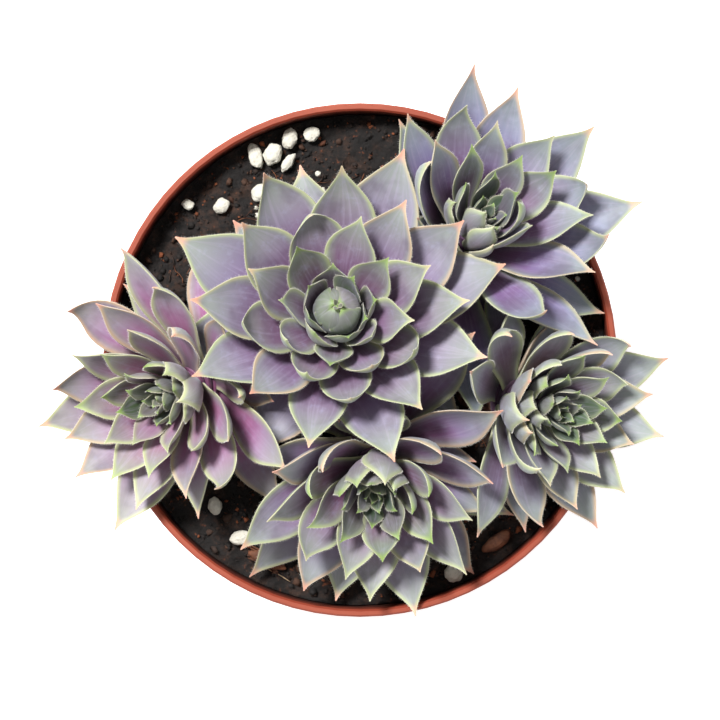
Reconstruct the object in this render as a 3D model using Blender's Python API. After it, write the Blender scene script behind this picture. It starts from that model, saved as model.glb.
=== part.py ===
"""A clump of five houseleek rosettes in a round plastic pot of soil.

Units are metres and +Z is up.  The origin is on the pot's axis, at the flat underside of its foot.
Each rosette grows from one short stem.  Its leaves follow the golden-angle spiral, and every five leaves
share one collar, a slice of the stem, so a whorl is one solid and the collars stack on the stem.
A leaf that would cut a neighbour is raised or stays smaller, and one that finds no room doesn't grow.
"""

import math
import random
from collections import namedtuple

import bmesh
import bpy
from mathutils import Matrix, Vector
from mathutils.bvhtree import BVHTree

# ---------------------------------------------------------------- driving dimensions
MM = 0.001
GAP = 0.3 * MM                       # air left between pieces that touch

RIM_DIAMETER = 120 * MM
RIM_LIP = 1.75 * MM                  # thickness of the upright band round the mouth
RIM_BAND_HEIGHT = 13 * MM
RIM_BAND_STEP = 1.2 * MM             # how far the band stands out from the wall below it
RIM_EDGE_ROUND = 0.45 * MM
POT_HEIGHT = 95 * MM
FOOT_DIAMETER = 88 * MM
POT_WALL = 1.4 * MM
POT_FLOOR = 2.4 * MM
DRAIN_HOLES = 8
DRAIN_HOLE_DIAMETER = 7 * MM
DRAIN_CIRCLE_DIAMETER = 58 * MM
DRAIN_HOLE_SIDES = 18
POT_SEGMENTS = 72

SOIL_DEPTH_BELOW_RIM = 8 * MM
STEM_DIAMETER = 11 * MM
STEM_IN_SOIL = 9 * MM                # how deep a stem is planted
STEM_SIDES = 12

WHORLS = 8                           # collars on a stem
WHORL_LEAVES = 5                     # leaves on a collar
COLLAR_HEIGHT = 1.6 * MM
LOWEST_COLLAR_RADIUS = 6.4 * MM
HIGHEST_COLLAR_RADIUS = 2.4 * MM
FOOT_HALF_ANGLE = math.radians(22)   # of the collar, that one leaf's foot takes
BUD_SIDES = 10

GOLDEN_ANGLE = math.radians(137.508)
YOUNGEST_ELEVATION = math.radians(76)
OLDEST_ELEVATION = math.radians(20)
YOUNGEST_CURL = math.radians(100)    # how far a leaf's tip turns up from its foot
OLDEST_CURL = math.radians(5)
YOUNGEST_LENGTH_SHARE = 0.28         # of the rosette's longest leaf
YOUNGEST_HALF_WIDTH = 0.27           # of the leaf's own length
OPEN_SIDE_STRETCH = 0.12             # how much longer leaves grow on the side that the rosette leans to
YOUNGEST_THICKNESS = 1.1 * MM
OLDEST_THICKNESS = 2.0 * MM
KEEL_SHARE = 0.6                     # of the thickness that lies below the leaf's middle line
CUPPING = 0.22                       # how far the edges stand up, of the half width
LEAF_OUTLINE = ((0.20, 0.52), (0.56, 1.0), (0.82, 0.62), (1.0, 0.0))  # share of length, of half width

LEAF_CLEARANCE = 0.35 * MM           # least air between two leaves
LIFT_STEP = math.radians(2)          # how finely a leaf is raised off what it would cut
MOST_LIFTS = 14
SHRINK_STEP = 0.95                   # a crowded leaf grows this much smaller, and again
MOST_SHRINKS = 20
SHRINK_COST = 1.6                    # lifts that a leaf would rather take than one shrink
HEART_RADIUS = 7.5 * MM              # room that a rosette's heart keeps free of its neighbours
HEART_LENGTH = 22 * MM

# across and up: where the crown stands, seen from above, as shares of the mouth's radius; height of the
# crown over the soil; direction and angle of the lean; turn of the leaf spiral, 1 or -1; direction of
# the youngest leaf; longest leaf; half width of the oldest leaf as a share of its length; radius of the
# bud.  Angles are in degrees, anticlockwise from +X.
Rosette = namedtuple("Rosette", "name across up height lean_to lean turn youngest longest broad bud")
ROSETTES = (
    Rosette("centre", -0.094, 0.120, 15 * MM, 85, 12, -1, 338, 36 * MM, 0.235, 4.4 * MM),
    Rosette("left", -0.625, -0.069, 10 * MM, 208, 36, 1, 287, 32.5 * MM, 0.185, 1.6 * MM),
    Rosette("top", 0.362, 0.438, 10 * MM, 42, 34, 1, 187, 37 * MM, 0.185, 1.6 * MM),
    Rosette("bottom", 0.062, -0.340, 10 * MM, 268, 36, 1, 262, 36 * MM, 0.19, 1.6 * MM),
    Rosette("right", 0.605, -0.155, 10 * MM, 344, 36, -1, 202, 29.5 * MM, 0.195, 1.6 * MM),
)

# direction from the pot's axis in degrees and distance in from the mouth of a place on the soil;
# the grain's shift from that place; its length, width and height; its turn in degrees
Grain = namedtuple("Grain", "direction inset across up long wide high turn")
PERLITE = (
    Grain(113, 5.5 * MM, 0, 0, 5.2 * MM, 4.2 * MM, 3.0 * MM, 60),
    Grain(113, 5.5 * MM, -4.0 * MM, -0.6 * MM, 6.4 * MM, 3.2 * MM, 2.8 * MM, 110),
    Grain(113, 5.5 * MM, 3.6 * MM, -2.0 * MM, 4.6 * MM, 2.4 * MM, 2.4 * MM, 55),
    Grain(113, 5.5 * MM, 3.9 * MM, 3.6 * MM, 5.0 * MM, 3.6 * MM, 3.0 * MM, 75),
    Grain(102, 3.8 * MM, 0, 0, 3.6 * MM, 3.2 * MM, 2.4 * MM, 20),
    Grain(121, 12.2 * MM, 0, 0, 4.6 * MM, 3.8 * MM, 2.8 * MM, 45),
    Grain(132, 9.4 * MM, 0, 0, 4.4 * MM, 3.4 * MM, 2.6 * MM, 30),
    Grain(138, 3.6 * MM, 0, 0, 3.0 * MM, 2.2 * MM, 1.8 * MM, 160),
    Grain(225, 10.0 * MM, 0, 0, 4.2 * MM, 3.2 * MM, 2.4 * MM, 100),
    Grain(236, 7.6 * MM, 0, 0, 4.8 * MM, 3.4 * MM, 2.6 * MM, 30),
    Grain(294, 3.6 * MM, 0, 0, 5.0 * MM, 4.4 * MM, 3.2 * MM, 30),
)
BARK = (
    Grain(241, 5.0 * MM, 3.5 * MM, -0.5 * MM, 9.4 * MM, 3.0 * MM, 2.0 * MM, 155),
    Grain(307, 4.6 * MM, 0, 0, 8.0 * MM, 3.2 * MM, 2.0 * MM, 36),
)
GRAIN_FLAT = 0.28                    # depth under the middle, of the height, where a grain rests flat

# ---------------------------------------------------------------- worked out from them
MOUTH_RADIUS = RIM_DIAMETER / 2 - RIM_LIP
BAND_FOOT = POT_HEIGHT - RIM_BAND_HEIGHT
SOIL_TOP = POT_HEIGHT - SOIL_DEPTH_BELOW_RIM
LEAF_COUNT = WHORLS * WHORL_LEAVES
COLLAR_PITCH = COLLAR_HEIGHT + GAP
BUD_BASE = (WHORLS - 1) * COLLAR_PITCH + COLLAR_HEIGHT


def blend(young, old, age, power=1.0):
    return young + (old - young) * age ** power


# ---------------------------------------------------------------- making objects
def material(name, color, roughness):
    made = bpy.data.materials.new(name)
    made.use_nodes = True
    shader = made.node_tree.nodes["Principled BSDF"]
    shader.inputs["Base Color"].default_value = (*color, 1.0)
    shader.inputs["Roughness"].default_value = roughness
    shader.inputs["Metallic"].default_value = 0.0
    return made


def add_object(name, bm, finish, matrix):
    """Makes the bmesh an object with its faces outwards, and places it."""
    bmesh.ops.recalc_face_normals(bm, faces=bm.faces)
    mesh = bpy.data.meshes.new(name)
    bm.to_mesh(mesh)
    bm.free()
    mesh.materials.append(finish)
    made = bpy.data.objects.new(name, mesh)
    made.matrix_world = matrix
    bpy.context.scene.collection.objects.link(made)
    return made


def turned(profile, segments):
    """A solid of revolution about Z from (radius, height) points that start and end on the axis."""
    bm = bmesh.new()
    points = [bm.verts.new((radius, 0.0, height)) for radius, height in profile]
    edges = [bm.edges.new(pair) for pair in zip(points, points[1:])]
    bmesh.ops.spin(bm, geom=points + edges, cent=(0, 0, 0), axis=(0, 0, 1), angle=math.tau,
                   steps=segments, use_merge=True, use_duplicate=False)
    bmesh.ops.remove_doubles(bm, verts=bm.verts, dist=0.01 * MM)
    return bm


def rod(radius, low, high, sides):
    """A capped cylinder along Z."""
    bm = bmesh.new()
    bmesh.ops.create_cone(bm, cap_ends=True, segments=sides, radius1=radius, radius2=radius,
                          depth=high - low, matrix=Matrix.Translation((0, 0, (low + high) / 2)))
    return bm


def cut(made, name, bm, matrix):
    """Takes the bmesh's shape away from an object with a Boolean."""
    cutter = add_object(name, bm, made.data.materials[0], matrix)
    cutter.hide_render = True
    cutter.display_type = "WIRE"
    boolean = made.modifiers.new(name, "BOOLEAN")
    boolean.operation = "DIFFERENCE"
    boolean.solver = "EXACT"
    boolean.object = cutter


def grown_face(bm, face):
    """Extrudes a face and gives the new face that stands where the old one was."""
    grown = bmesh.ops.extrude_face_region(bm, geom=[face])["geom"]
    if face.is_valid:
        bmesh.ops.delete(bm, geom=[face], context="FACES_ONLY")
    return next(item for item in grown if isinstance(item, bmesh.types.BMFace))


# ---------------------------------------------------------------- pot and what lies in it
def wall_radius(height):
    """Outer radius of the pot's tapering wall, which ends under the band."""
    foot = FOOT_DIAMETER / 2
    top = RIM_DIAMETER / 2 - RIM_BAND_STEP
    return foot + (top - foot) * height / BAND_FOOT


def build_pot(finish):
    rim = RIM_DIAMETER / 2
    profile = (
        (0.0, 0.0),
        (FOOT_DIAMETER / 2 - RIM_EDGE_ROUND, 0.0),
        (FOOT_DIAMETER / 2, RIM_EDGE_ROUND),
        (wall_radius(BAND_FOOT), BAND_FOOT),
        (rim - RIM_EDGE_ROUND, BAND_FOOT),
        (rim, BAND_FOOT + RIM_EDGE_ROUND),
        (rim, POT_HEIGHT - RIM_EDGE_ROUND),
        (rim - RIM_EDGE_ROUND, POT_HEIGHT),
        (MOUTH_RADIUS + RIM_EDGE_ROUND, POT_HEIGHT),
        (MOUTH_RADIUS, POT_HEIGHT - RIM_EDGE_ROUND),
        (MOUTH_RADIUS, BAND_FOOT + RIM_LIP),
        (wall_radius(BAND_FOOT) - POT_WALL, BAND_FOOT),
        (wall_radius(POT_FLOOR) - POT_WALL, POT_FLOOR),
        (0.0, POT_FLOOR),
    )
    pot = add_object("pot", turned(profile, POT_SEGMENTS), finish, Matrix())
    for index in range(DRAIN_HOLES):
        hole = rod(DRAIN_HOLE_DIAMETER / 2, -POT_FLOOR, 2 * POT_FLOOR, DRAIN_HOLE_SIDES)
        turn = Matrix.Rotation(math.tau * (index + 0.5) / DRAIN_HOLES, 4, "Z")
        place = turn @ Matrix.Translation((DRAIN_CIRCLE_DIAMETER / 2, 0, 0))
        place = place @ Matrix.Rotation(math.pi / 2 / DRAIN_HOLE_SIDES, 4, "Z")
        cut(pot, f"drain_hole_cutter_{index + 1}", hole, place)
    pot.data.shade_smooth()
    pot.data.set_sharp_from_angle(angle=math.radians(40))
    return pot


def build_soil(finish):
    inside = POT_WALL + GAP
    profile = (
        (0.0, POT_FLOOR + GAP),
        (wall_radius(POT_FLOOR) - inside - GAP, POT_FLOOR + GAP),
        (wall_radius(BAND_FOOT) - inside, BAND_FOOT),
        (MOUTH_RADIUS - GAP, BAND_FOOT + RIM_LIP + GAP),
        (MOUTH_RADIUS - GAP, SOIL_TOP),
        (0.0, SOIL_TOP),
    )
    soil = add_object("soil", turned(profile, POT_SEGMENTS), finish, Matrix())
    for rosette in ROSETTES:
        socket = rod(STEM_DIAMETER / 2 + GAP, -stem_length(rosette) - GAP, 0.0, STEM_SIDES)
        cut(soil, rosette.name + "_socket_cutter", socket, crown_matrix(rosette))
    return soil


def build_grain(name, grain, finish, seed):
    """An irregular pebble that lies on the soil, flat where it rests."""
    chance = random.Random(seed)
    bm = bmesh.new()
    bmesh.ops.create_icosphere(bm, subdivisions=1, radius=0.5)
    for vert in bm.verts:
        vert.co *= 1.0 + chance.uniform(-0.14, 0.10)
        vert.co.x *= grain.long
        vert.co.y *= grain.wide
        vert.co.z = max(vert.co.z, -GRAIN_FLAT) * grain.high
    direction = math.radians(grain.direction)
    out = MOUTH_RADIUS - grain.inset
    place = Matrix.Translation((
        out * math.cos(direction) + grain.across,
        out * math.sin(direction) + grain.up,
        SOIL_TOP + GAP + GRAIN_FLAT * grain.high,
    ))
    add_object(name, bm, finish, place @ Matrix.Rotation(math.radians(grain.turn), 4, "Z"))


# ---------------------------------------------------------------- one rosette's frame, stem and bud
def crown_matrix(rosette):
    """Places a rosette: +Z along its leaning axis, +X above the ground's +X, origin under its collars."""
    lean = math.radians(rosette.lean)
    toward = math.radians(rosette.lean_to)
    level = math.sin(lean)
    axis = Vector((level * math.cos(toward), level * math.sin(toward), math.cos(lean)))
    across = (Vector((1, 0, 0)) - axis * axis.x).normalized()
    turn = Matrix((across, axis.cross(across), axis)).transposed().to_4x4()
    crown = (rosette.across * MOUTH_RADIUS, rosette.up * MOUTH_RADIUS, SOIL_TOP + rosette.height)
    return Matrix.Translation(crown) @ turn


def stem_length(rosette):
    return (rosette.height + STEM_IN_SOIL) / math.cos(math.radians(rosette.lean))


def collar_radius(whorl):
    return blend(LOWEST_COLLAR_RADIUS, HIGHEST_COLLAR_RADIUS, whorl / (WHORLS - 1))


def bud_sections(rosette):
    """Radius and height over the highest collar of the closed bud, an egg on a narrow neck."""
    size = rosette.bud
    neck = min(size, 0.7 * HIGHEST_COLLAR_RADIUS)
    return ((neck, 0.05 * size), (0.92 * size, 0.6 * size), (size, 1.2 * size),
            (0.72 * size, 2.0 * size), (0.0, 2.7 * size))


def raise_bud(bm, face, rosette):
    """Extrudes the top of the highest collar into the bud."""
    base = face.calc_center_median()
    for radius, height in bud_sections(rosette):
        face = grown_face(bm, face)
        for vert in face.verts:
            turn = math.atan2(vert.co.y, vert.co.x)
            vert.co = base + Vector((radius * math.cos(turn), radius * math.sin(turn), height))
    bmesh.ops.pointmerge(bm, verts=list(face.verts), merge_co=base + Vector((0, 0, height)))


# ---------------------------------------------------------------- one leaf
Leaf = namedtuple("Leaf", "rosette number whorl azimuth length elevation curl half_width thickness")


def free_leaf(rosette, number):
    """The leaf of this number, 0 the youngest, as it would grow with nothing in its way."""
    age = number / (LEAF_COUNT - 1)
    azimuth = math.radians(rosette.youngest) + rosette.turn * GOLDEN_ANGLE * number
    length = blend(YOUNGEST_LENGTH_SHARE, 1.0, age, 0.75) * rosette.longest
    length *= 1 + OPEN_SIDE_STRETCH * math.cos(azimuth - math.radians(rosette.lean_to))
    return Leaf(
        rosette=rosette,
        number=number,
        whorl=WHORLS - 1 - number // WHORL_LEAVES,
        azimuth=azimuth,
        length=length,
        elevation=blend(YOUNGEST_ELEVATION, OLDEST_ELEVATION, age, 0.8),
        curl=blend(YOUNGEST_CURL, OLDEST_CURL, age, 0.6),
        half_width=length * blend(YOUNGEST_HALF_WIDTH, rosette.broad, age, 0.6),
        thickness=blend(YOUNGEST_THICKNESS, OLDEST_THICKNESS, age),
    )


def collar_corner(leaf, side, top):
    """A corner of the collar's side that the leaf grows from: side -1 or 1, top 0 or 1."""
    turn = leaf.azimuth + side * FOOT_HALF_ANGLE
    radius = collar_radius(leaf.whorl)
    height = leaf.whorl * COLLAR_PITCH + top * COLLAR_HEIGHT
    return Vector((radius * math.cos(turn), radius * math.sin(turn), height))


def leaf_spine(leaf, share):
    """Distance from the axis, height and slope of the leaf's middle line at a share of its length."""
    start = leaf.elevation - leaf.curl / 2
    slope = start + leaf.curl * share
    bend_radius = leaf.length / leaf.curl
    out = collar_radius(leaf.whorl) + bend_radius * (math.sin(slope) - math.sin(start))
    up = leaf.whorl * COLLAR_PITCH + COLLAR_HEIGHT / 2 + bend_radius * (math.cos(start) - math.cos(slope))
    return out, up, slope


def leaf_sections(leaf, air=0.0):
    """Corner loops in the crown's frame, foot to tip: keel, right edge, upper middle, left edge."""
    radial = Vector((math.cos(leaf.azimuth), math.sin(leaf.azimuth), 0))
    sideways = Vector((-radial.y, radial.x, 0))
    sections = [[collar_corner(leaf, side, top) for side, top in ((-1, 0), (1, 0), (1, 1), (-1, 1))]]
    for share, width_share in LEAF_OUTLINE:
        out, up, slope = leaf_spine(leaf, share)
        middle = radial * out + Vector((0, 0, up))
        upward = radial * -math.sin(slope) + Vector((0, 0, math.cos(slope)))
        if width_share == 0.0:
            along = radial * math.cos(slope) + Vector((0, 0, math.sin(slope)))
            sections.append([middle + along * air])
            continue
        half = leaf.half_width * width_share
        edge = middle + upward * (CUPPING * half)
        sections.append([
            middle - upward * (KEEL_SHARE * leaf.thickness + air),
            edge + sideways * (half + air),
            middle + upward * ((1 - KEEL_SHARE) * leaf.thickness + air),
            edge - sideways * (half + air),
        ])
    return sections


def draw_leaf(bm, face, leaf):
    """Extrudes one side of the collar along the leaf's sections to its tip."""
    sections = leaf_sections(leaf)
    corner = {}
    for vert in face.verts:
        distances = [(vert.co - point).length for point in sections[0]]
        corner[vert] = distances.index(min(distances))
    for section in sections[1:]:
        before = {vert.co.copy().freeze(): corner[vert] for vert in face.verts}
        face = grown_face(bm, face)
        corner = {vert: before[vert.co.copy().freeze()] for vert in face.verts}
        for vert in face.verts:
            vert.co = section[corner[vert]] if len(section) == 4 else section[0]
    bmesh.ops.pointmerge(bm, verts=list(face.verts), merge_co=section[0])


def build_whorl(rosette, whorl, settled, finish):
    """One collar with its leaves drawn out of its sides, bare where a leaf found no room."""
    places = [free_leaf(rosette, number) for number in range(LEAF_COUNT)]
    places = [leaf for leaf in places if leaf.whorl == whorl]
    places.sort(key=lambda leaf: leaf.azimuth % math.tau)
    bm = bmesh.new()
    ring = [bm.verts.new(collar_corner(leaf, side, 0)) for leaf in places for side in (-1, 1)]
    floor = bm.faces.new(ring)
    raised = bmesh.ops.extrude_face_region(bm, geom=[floor], use_keep_orig=True)
    top = [item for item in raised["geom"] if isinstance(item, bmesh.types.BMVert)]
    bmesh.ops.translate(bm, verts=top, vec=(0, 0, COLLAR_HEIGHT))
    bmesh.ops.recalc_face_normals(bm, faces=bm.faces)
    for index, place in enumerate(places):
        if place.number in settled:
            pair = {ring[2 * index], ring[2 * index + 1]}
            side = next(face for face in bm.faces if pair <= set(face.verts) and len(face.verts) == 4)
            draw_leaf(bm, side, settled[place.number])
    if whorl == WHORLS - 1:
        lid = next(face for face in bm.faces if len(face.verts) > 4 and face.normal.z > 0.9)
        raise_bud(bm, lid, rosette)
    add_object(f"{rosette.name}_leaves_{whorl + 1}", bm, finish, crown_matrix(rosette))


# ---------------------------------------------------------------- how the leaves find their places
def tree_of(bm, matrix):
    """A search tree of the bmesh's faces, placed by the matrix."""
    bmesh.ops.transform(bm, verts=bm.verts, matrix=matrix)
    tree = BVHTree.FromBMesh(bm)
    bm.free()
    return tree


def object_tree(made):
    bpy.context.view_layer.update()
    bm = bmesh.new()
    bm.from_object(made, bpy.context.evaluated_depsgraph_get())
    return tree_of(bm, made.matrix_world)


def stem_tree(rosette):
    solid = rod(STEM_DIAMETER / 2 + GAP, -stem_length(rosette), -GAP / 2, STEM_SIDES)
    return tree_of(solid, crown_matrix(rosette))


def collar_tree(rosette, whorl):
    base = whorl * COLLAR_PITCH
    solid = rod(collar_radius(whorl) + GAP / 2, base - GAP / 2, base + COLLAR_HEIGHT + GAP / 2, 16)
    return tree_of(solid, crown_matrix(rosette))


def bud_tree(rosette):
    profile = [(0.0, BUD_BASE)]
    for radius, height in bud_sections(rosette):
        profile.append((radius + GAP if radius else 0.0, BUD_BASE + height))
    return tree_of(turned(profile, BUD_SIDES), crown_matrix(rosette))


def heart_tree(rosette):
    """The room round the rosette's axis where its youngest leaves stand."""
    bm = bmesh.new()
    size = Matrix.Diagonal((HEART_RADIUS, HEART_RADIUS, HEART_LENGTH / 2, 1))
    bmesh.ops.create_uvsphere(bm, u_segments=10, v_segments=8, radius=1.0, matrix=size)
    middle = Matrix.Translation((0, 0, COLLAR_HEIGHT + HEART_LENGTH / 2))
    return tree_of(bm, crown_matrix(rosette) @ middle)


def leaf_tree(leaf, air):
    """The leaf's search tree with air all round it, its middle and how far it reaches from there."""
    matrix = crown_matrix(leaf.rosette)
    sections = leaf_sections(leaf, air)
    points = [matrix @ point for section in sections for point in section]
    faces = [(3, 2, 1, 0)]
    for low in range(0, 4 * len(sections) - 8, 4):
        for side in range(4):
            after = (side + 1) % 4
            faces.append((low + side, low + after, low + 4 + after, low + 4 + side))
    tip = len(points) - 1
    faces += [(tip - 4 + side, tip - 4 + (side + 1) % 4, tip) for side in range(4)]
    middle = sum(points, Vector()) / len(points)
    reach = max((point - middle).length for point in points)
    return BVHTree.FromPolygons(points, faces), middle, reach


def is_clear(leaf, laid, fixed):
    tree, middle, reach = leaf_tree(leaf, LEAF_CLEARANCE)
    if any(tree.overlap(other) for other in fixed):
        return False
    near = (other for other, centre, size in laid if (middle - centre).length < reach + size)
    return not any(tree.overlap(other) for other in near)


def settle_leaves(obstacles):
    """Lays the centre rosette's leaves, then the others', the oldest first, each clear of those laid."""
    tries = [(lift, shrink) for lift in range(MOST_LIFTS) for shrink in range(MOST_SHRINKS)]
    tries.sort(key=lambda pair: (pair[0] + SHRINK_COST * pair[1], pair))
    obstacles = obstacles + [tree(rosette) for rosette in ROSETTES for tree in (stem_tree, bud_tree)]
    hearts = {rosette.name: heart_tree(rosette) for rosette in ROSETTES}
    collars = {(rosette.name, whorl): collar_tree(rosette, whorl)
               for rosette in ROSETTES for whorl in range(WHORLS)}
    numbers = range(LEAF_COUNT - 1, -1, -1)
    order = [(ROSETTES[0], number) for number in numbers]
    order += [(rosette, number) for number in numbers for rosette in ROSETTES[1:]]
    laid = []
    settled = {rosette.name: {} for rosette in ROSETTES}
    for rosette, number in order:
        leaf = free_leaf(rosette, number)
        fixed = obstacles + [heart for name, heart in hearts.items() if name != rosette.name]
        fixed += [collar for place, collar in collars.items() if place != (rosette.name, leaf.whorl)]
        for lift, shrink in tries:
            size = SHRINK_STEP ** shrink
            tried = leaf._replace(length=leaf.length * size, half_width=leaf.half_width * size,
                                  elevation=leaf.elevation + lift * LIFT_STEP)
            if is_clear(tried, laid, fixed):
                laid.append(leaf_tree(tried, 0.0))
                settled[rosette.name][number] = tried
                break
    return settled


def main():
    for old in list(bpy.data.objects):
        bpy.data.objects.remove(old)
    clay = material("terracotta plastic", (0.53, 0.14, 0.09), 0.45)
    peat = material("potting soil", (0.012, 0.008, 0.006), 0.95)
    white = material("perlite", (0.80, 0.76, 0.66), 0.9)
    brown = material("bark", (0.10, 0.035, 0.02), 0.9)
    stalk = material("stem", (0.20, 0.12, 0.07), 0.8)
    old_tint, young_tint = (0.27, 0.26, 0.42), (0.15, 0.23, 0.12)
    leaf_finishes = []
    for whorl in range(WHORLS):
        tint = [blend(old, young, whorl / (WHORLS - 1)) for old, young in zip(old_tint, young_tint)]
        leaf_finishes.append(material(f"leaf whorl {whorl + 1}", tint, 0.5))

    pot = build_pot(clay)
    soil = build_soil(peat)
    for number, grain in enumerate(PERLITE, 1):
        build_grain(f"perlite_{number}", grain, white, number)
    for number, chip in enumerate(BARK, 1):
        build_grain(f"bark_chip_{number}", chip, brown, 100 + number)
    settled = settle_leaves([object_tree(pot), object_tree(soil)])
    for rosette in ROSETTES:
        stem = rod(STEM_DIAMETER / 2, -stem_length(rosette), -GAP, STEM_SIDES)
        add_object(rosette.name + "_stem", stem, stalk, crown_matrix(rosette))
        for whorl, finish in enumerate(leaf_finishes):
            build_whorl(rosette, whorl, settled[rosette.name], finish)


main()
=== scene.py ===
import math
import random
from collections import namedtuple
from functools import partial

import bmesh
import bpy
from mathutils import Matrix, Vector, noise
from mathutils.bvhtree import BVHTree


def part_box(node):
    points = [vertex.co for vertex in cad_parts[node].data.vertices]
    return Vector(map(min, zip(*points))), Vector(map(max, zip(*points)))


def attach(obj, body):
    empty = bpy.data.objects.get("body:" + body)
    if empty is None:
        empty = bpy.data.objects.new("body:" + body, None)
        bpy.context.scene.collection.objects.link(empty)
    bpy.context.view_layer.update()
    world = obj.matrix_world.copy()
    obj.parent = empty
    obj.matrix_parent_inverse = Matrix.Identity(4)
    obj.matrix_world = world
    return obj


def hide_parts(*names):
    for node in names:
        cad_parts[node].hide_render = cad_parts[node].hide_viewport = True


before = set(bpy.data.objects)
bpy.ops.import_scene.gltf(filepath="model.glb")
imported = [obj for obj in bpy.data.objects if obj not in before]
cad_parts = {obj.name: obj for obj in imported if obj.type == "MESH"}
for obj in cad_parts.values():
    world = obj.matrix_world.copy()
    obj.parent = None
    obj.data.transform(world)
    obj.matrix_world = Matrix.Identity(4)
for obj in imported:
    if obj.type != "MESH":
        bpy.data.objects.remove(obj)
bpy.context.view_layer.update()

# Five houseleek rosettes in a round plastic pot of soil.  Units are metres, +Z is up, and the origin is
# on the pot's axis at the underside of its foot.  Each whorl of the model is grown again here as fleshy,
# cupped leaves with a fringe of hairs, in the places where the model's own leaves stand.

MM = 0.001

# ---------------------------------------------------------------- the model's measures
GAP = 0.3 * MM
RIM_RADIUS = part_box("pot")[1].x
RIM_LIP = 1.75 * MM
MOUTH_RADIUS = RIM_RADIUS - RIM_LIP
RIM_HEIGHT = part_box("pot")[1].z
SOIL_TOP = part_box("soil")[1].z
STEM_DIAMETER = 11 * MM
STEM_IN_SOIL = 9 * MM
POT_FLOOR_TOP = 2.4 * MM

WHORLS = 8
WHORL_LEAVES = 5
LEAF_COUNT = WHORLS * WHORL_LEAVES
COLLAR_HEIGHT = 1.6 * MM
COLLAR_PITCH = COLLAR_HEIGHT + GAP
LOWEST_COLLAR_RADIUS = 6.4 * MM
HIGHEST_COLLAR_RADIUS = 2.4 * MM

GOLDEN_ANGLE = math.radians(137.508)
YOUNGEST_CURL = math.radians(100)
OLDEST_CURL = math.radians(5)
YOUNGEST_HALF_WIDTH = 0.27
YOUNGEST_THICKNESS = 1.1 * MM
OLDEST_THICKNESS = 2.0 * MM

# across and up: where the crown stands as shares of the mouth's radius; height over the soil; direction
# and angle of the lean; turn of the leaf spiral; direction of the youngest leaf; longest leaf; half width
# of the oldest leaf as a share of its length.
Rosette = namedtuple("Rosette", "name across up height lean_to lean turn youngest longest broad")
ROSETTES = (
    Rosette("centre", -0.094, 0.120, 15 * MM, 85, 12, -1, 338, 36 * MM, 0.235),
    Rosette("left", -0.625, -0.069, 10 * MM, 208, 36, 1, 287, 32.5 * MM, 0.185),
    Rosette("top", 0.362, 0.438, 10 * MM, 42, 34, 1, 187, 37 * MM, 0.185),
    Rosette("bottom", 0.062, -0.340, 10 * MM, 268, 36, 1, 262, 36 * MM, 0.19),
    Rosette("right", 0.605, -0.155, 10 * MM, 344, 36, -1, 202, 29.5 * MM, 0.195),
)

# ---------------------------------------------------------------- how a leaf is drawn
HEART_LEAVES = 8
CUP_LEAVES = 8                       # the youngest leaves of the centre rosette stand round its bud
OLD_LEAVES = 12                      # tried under the lowest whorl of a rosette
FREE_FROM = 0.25                     # share of a leaf from which it must be clear of the others
BUD_RADIUS = 4.6 * MM
BUD_SCALES = 5
CROWN_TOP = (WHORLS - 1) * COLLAR_PITCH + COLLAR_HEIGHT
BLADE_RING = 20                      # corners round a leaf
BLADE_STATIONS = 26                  # rings from foot to tip
SPINE_STEPS = 48
# half width and thickness of a leaf from foot to tip, as shares of their greatest
OUTLINE = ((0.0, 0.50), (0.14, 0.56), (0.28, 0.72), (0.42, 0.91), (0.54, 1.0), (0.64, 0.96),
           (0.73, 0.81), (0.81, 0.57), (0.88, 0.32), (0.93, 0.15), (0.97, 0.06), (1.0, 0.02))
FLESH = ((0.0, 1.1), (0.3, 1.05), (0.6, 0.95), (0.8, 0.62), (0.92, 0.34), (1.0, 0.12))
UPPER_FLESH = 0.28                   # of the thickness, over the middle line
LOWER_FLESH = 0.72
FOOT_SUNK = 0.05                     # of the length, that a leaf's foot reaches into the collar
CUPPING = 0.30                       # how far the edges stand up, of the half width
STRAIGHTENED = 0.65                  # curl of a leaf, of the curl of the plain leaf with the same tip
HOOD_START = 0.66                    # where a hooded tip starts to turn up
FLICK_START = 0.76                   # where the point starts to turn out
MARGIN_REACH = 4 * MM                # how far in from its edge a leaf notes the distance
HAIR_SPACING = 0.46 * MM
HAIR_LENGTH = 0.50 * MM
HAIR_RADIUS = 0.055 * MM
BUD_FOOT_ANGLE = math.radians(62)    # from the ball's lowest point to the feet of its scales
TUFT_LEAVES = 3
# a leaf that is in the way of others grows smaller, and for each size turns further away
SETTLING_SIZES = (1.0, 0.84, 0.70, 0.56)
SETTLING_TURNS = tuple(math.radians(turned) for turned in (0, 9, 18, 30))

# ---------------------------------------------------------------- stems, soil and what lies on it
STEM_RINGS = 22
STEM_STEPS = 28
SCAR_DEPTH = 0.5 * MM
SOIL_RINGS = 64
SOIL_STEPS = 180
SOIL_RELIEF = 1.5 * MM
CRUMBS = 4000
PERLITE_GRAINS = 11
PERLITE_CRUMBS = 34
BARK_PIECES = 2
BARK_FIBRES = 16
STRAND_POINTS = 6

# ---------------------------------------------------------------- studio
CAMERA_OVER_RIM = 0.65
VIEW_WIDTH = 0.168                   # across the picture, at the height of the rim
SENSOR = 36.0                        # millimetres, as Blender counts them
FLOOR_HALF_SIZE = 20.0
FLOOR_GLOW = 0.6
SKY = 0.42


def blend(young, old, age, power=1.0):
    return young + (old - young) * age ** power


def eased(value):
    """0 below 0 and 1 above 1, with a smooth rise between."""
    value = min(1.0, max(0.0, value))
    return value * value * (3 - 2 * value)


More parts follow.
